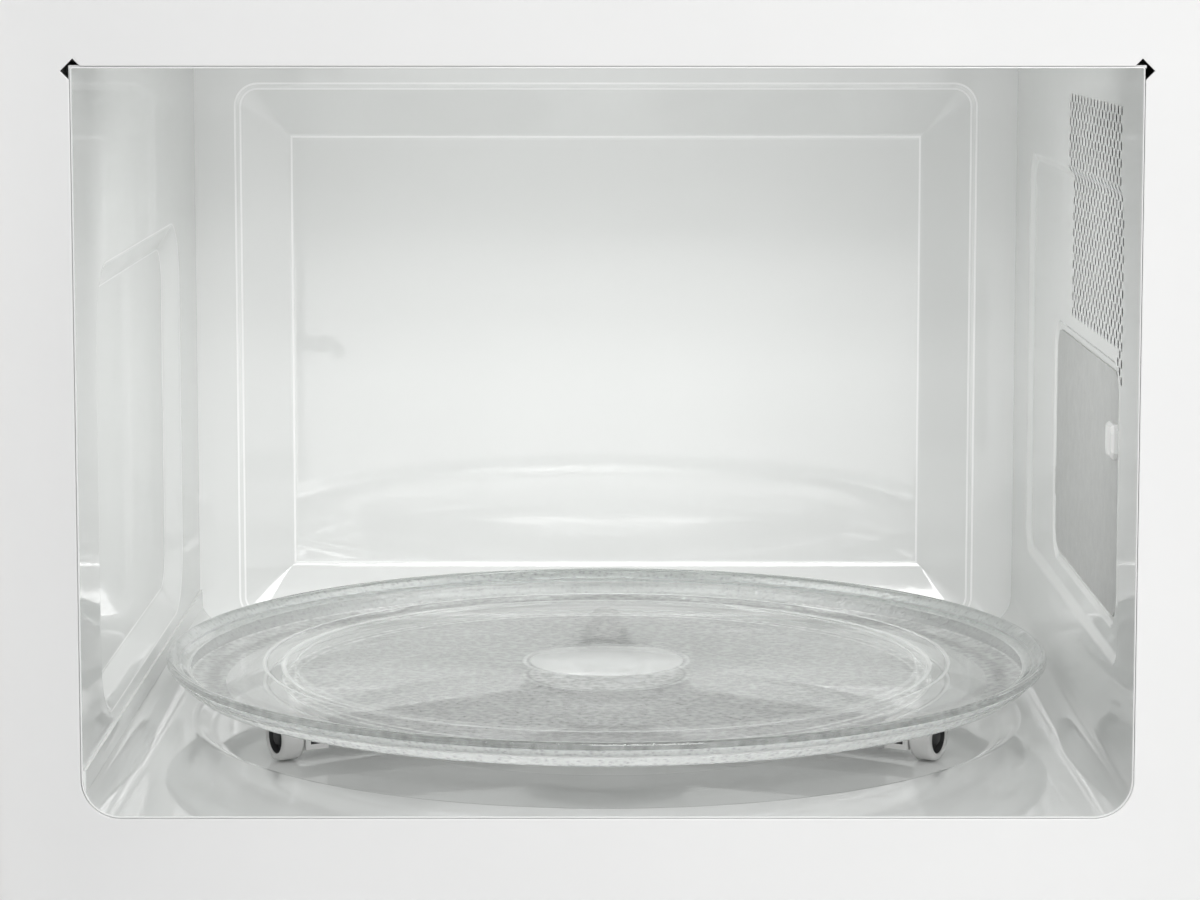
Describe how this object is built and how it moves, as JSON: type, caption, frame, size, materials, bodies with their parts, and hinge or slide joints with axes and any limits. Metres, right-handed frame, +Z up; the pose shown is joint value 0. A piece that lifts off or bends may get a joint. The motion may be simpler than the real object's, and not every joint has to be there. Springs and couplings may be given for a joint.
{
  "type": "built-in microwave",
  "caption": "Built-in microwave oven: framed casing with a hinged door, control fascia, dished cavity and a glass turntable on a wheeled roller support.",
  "frame": {"origin": "on the underside of the base plate, in the front plane of the cabinet, on the centreline of the front frame", "axes": "+X to the right seen from the front, +Y to the rear, +Z up; the door faces -Y"},
  "size_m": [0.594, 0.671, 0.3718],
  "materials": {
    "cavity_enamel": "glossy grey-white enamel",
    "front_enamel": "semi-gloss white powder coat",
    "galvanized_sheet": "galvanised sheet",
    "plated_steel": "zinc-plated steel",
    "pin_steel": "bright steel",
    "door_enamel": "black enamel",
    "aluminium": "bare aluminium",
    "core_iron": "laminated iron, varnished",
    "copper_wire": "enamelled copper wire",
    "magnetron_body": "copper barrel with fins",
    "mica": "pressed mica sheet",
    "front_plastic": "white moulding, satin",
    "button_plastic": "light grey moulding",
    "knob_plastic": "light grey moulding, satin",
    "clip_plastic": "white moulding",
    "roller_plastic": "white moulding",
    "black_plastic": "black moulding",
    "grey_plastic": "grey moulding",
    "board": "printed circuit board",
    "display_tint": "dark tinted window",
    "door_glass": "toughened glass, tinted",
    "clear_glass": "clear glass",
    "tray_glass": "pressed heat-proof glass",
    "lamp_glass": "frosted glass"
  },
  "bodies": {
    "casing": {"base_plate": "galvanized_sheet", "outer_casing": "galvanized_sheet", "back_plate": "cavity_enamel", "mains_inlet_gland": "black_plastic", "front_plate": "front_enamel", "cavity_floor": "cavity_enamel", "cavity_left_wall": "cavity_enamel", "cavity_right_wall": "cavity_enamel", "cavity_ceiling": "cavity_enamel", "mica_cover": "mica", "mica_clip": "clip_plastic", "waveguide": "plated_steel", "magnetron_yoke": "plated_steel", "magnetron_anode": "magnetron_body", "transformer_core": "core_iron", "transformer_windings": "copper_wire", "hv_capacitor": "aluminium", "hv_diode": "black_plastic", "fan_shroud": "grey_plastic", "fan_motor": "core_iron", "air_duct": "grey_plastic", "lamp_holder": "clip_plastic", "oven_lamp": "lamp_glass", "turntable_motor": "plated_steel", "filter_board": "board", "interlock_bracket": "clip_plastic", "interlock_switches": "black_plastic", "hinge_brackets": "plated_steel", "hinge_pins": "pin_steel", "front_frame": "front_plastic", "control_fascia": "front_plastic", "control_board": "board", "rotary_encoder": "pin_steel", "display_window": "display_tint"},
    "door": {"door_frame": "front_plastic", "door_panel": "door_enamel", "door_screen": "door_enamel", "door_inner_window": "clear_glass", "door_outer_glass": "door_glass", "choke_cover": "grey_plastic", "door_hinge_tabs": "plated_steel", "latch_spring": "pin_steel"},
    "door_latch": {"latch_bar": "clip_plastic"},
    "release_button": {"release_button": "button_plastic"},
    "release_lever": {"release_lever": "clip_plastic"},
    "power_button": {"button_power": "button_plastic"},
    "defrost_button": {"button_defrost": "button_plastic"},
    "clock_button": {"button_clock": "button_plastic"},
    "stop_button": {"button_stop": "button_plastic"},
    "start_button": {"button_start": "button_plastic"},
    "dial": {"dial_knob": "knob_plastic"},
    "turntable_drive": {"motor_shaft": "pin_steel", "drive_coupler": "roller_plastic"},
    "glass_tray": {"glass_tray": "tray_glass"},
    "roller_ring": {"roller_ring": "roller_plastic"},
    "wheel_1": {"roller_wheel_1": "roller_plastic"},
    "wheel_2": {"roller_wheel_2": "roller_plastic"},
    "wheel_3": {"roller_wheel_3": "roller_plastic"},
    "fan": {"fan_blade": "grey_plastic"},
    "switch_plungers": {"switch_plungers": "clip_plastic"}
  },
  "joints": [
    {"name": "door_hinge", "type": "hinge", "parent": "casing", "child": "door", "pos_m": [-0.2515, -0.0175, 0.1863], "axis": [0, 0, 1], "range_deg": [0, 90]},
    {"name": "latch_lift", "type": "slide", "parent": "door", "child": "door_latch", "axis": [0, 0, 1], "range_m": [0, 0.004], "stiffness_N_per_m": 400, "springref_m": -0.002, "deforming": ["latch_spring"]},
    {"name": "release_press", "type": "slide", "parent": "casing", "child": "release_button", "axis": [0, 1, 0], "range_m": [0, 0.006], "stiffness_N_per_m": 500, "springref_m": -0.002},
    {"name": "release_lever_turn", "type": "hinge", "parent": "casing", "child": "release_lever", "pos_m": [0.12, 0.012, 0.084], "axis": [1, 0, 0], "range_deg": [0, 11.2]},
    {"name": "dial_turn", "type": "hinge", "parent": "casing", "child": "dial", "pos_m": [0.19635, -0.0263, 0.192], "axis": [0, -1, 0], "continuous": true},
    {"name": "turntable_spin", "type": "hinge", "parent": "casing", "child": "turntable_drive", "pos_m": [-0.07, 0.1375, 0.0779], "axis": [0, 0, 1], "continuous": true},
    {"name": "tray_lift", "type": "slide", "parent": "turntable_drive", "child": "glass_tray", "axis": [0, 0, 1], "range_m": [0, 0.03]},
    {"name": "ring_spin", "type": "hinge", "parent": "casing", "child": "roller_ring", "pos_m": [-0.07, 0.1375, 0.0875], "axis": [0, 0, 1], "continuous": true},
    {"name": "fan_spin", "type": "hinge", "parent": "casing", "child": "fan", "pos_m": [0.168, 0.234, 0.17], "axis": [0, 1, 0], "continuous": true},
    {"name": "plunger_press", "type": "slide", "parent": "casing", "child": "switch_plungers", "axis": [0, 1, 0], "range_m": [0, 0.0012], "stiffness_N_per_m": 500},
    {"name": "power_press", "type": "slide", "parent": "casing", "child": "power_button", "axis": [0, 1, 0], "range_m": [0, 0.001], "stiffness_N_per_m": 600, "springref_m": -0.001},
    {"name": "defrost_press", "type": "slide", "parent": "casing", "child": "defrost_button", "axis": [0, 1, 0], "range_m": [0, 0.001], "stiffness_N_per_m": 600, "springref_m": -0.001},
    {"name": "clock_press", "type": "slide", "parent": "casing", "child": "clock_button", "axis": [0, 1, 0], "range_m": [0, 0.001], "stiffness_N_per_m": 600, "springref_m": -0.001},
    {"name": "stop_press", "type": "slide", "parent": "casing", "child": "stop_button", "axis": [0, 1, 0], "range_m": [0, 0.001], "stiffness_N_per_m": 600, "springref_m": -0.001},
    {"name": "start_press", "type": "slide", "parent": "casing", "child": "start_button", "axis": [0, 1, 0], "range_m": [0, 0.001], "stiffness_N_per_m": 600, "springref_m": -0.001},
    {"name": "wheel_1_roll", "type": "hinge", "parent": "roller_ring", "child": "wheel_1", "pos_m": [-0.07, 0.2475, 0.0875], "axis": [0, 1, 0], "continuous": true},
    {"name": "wheel_2_roll", "type": "hinge", "parent": "roller_ring", "child": "wheel_2", "pos_m": [-0.16526, 0.0825, 0.0875], "axis": [-0.866, -0.5, 0], "continuous": true},
    {"name": "wheel_3_roll", "type": "hinge", "parent": "roller_ring", "child": "wheel_3", "pos_m": [0.02526, 0.0825, 0.0875], "axis": [0.866, -0.5, 0], "continuous": true}
  ],
  "couplings": [
    {"joint": "release_lever_turn", "follows": "release_press", "rad_per_m": 32.258},
    {"joint": "ring_spin", "follows": "turntable_spin", "ratio": 0.5},
    {"joint": "wheel_1_roll", "follows": "turntable_spin", "ratio": -7.8571},
    {"joint": "wheel_2_roll", "follows": "turntable_spin", "ratio": -7.8571},
    {"joint": "wheel_3_roll", "follows": "turntable_spin", "ratio": -7.8571}
  ]
}
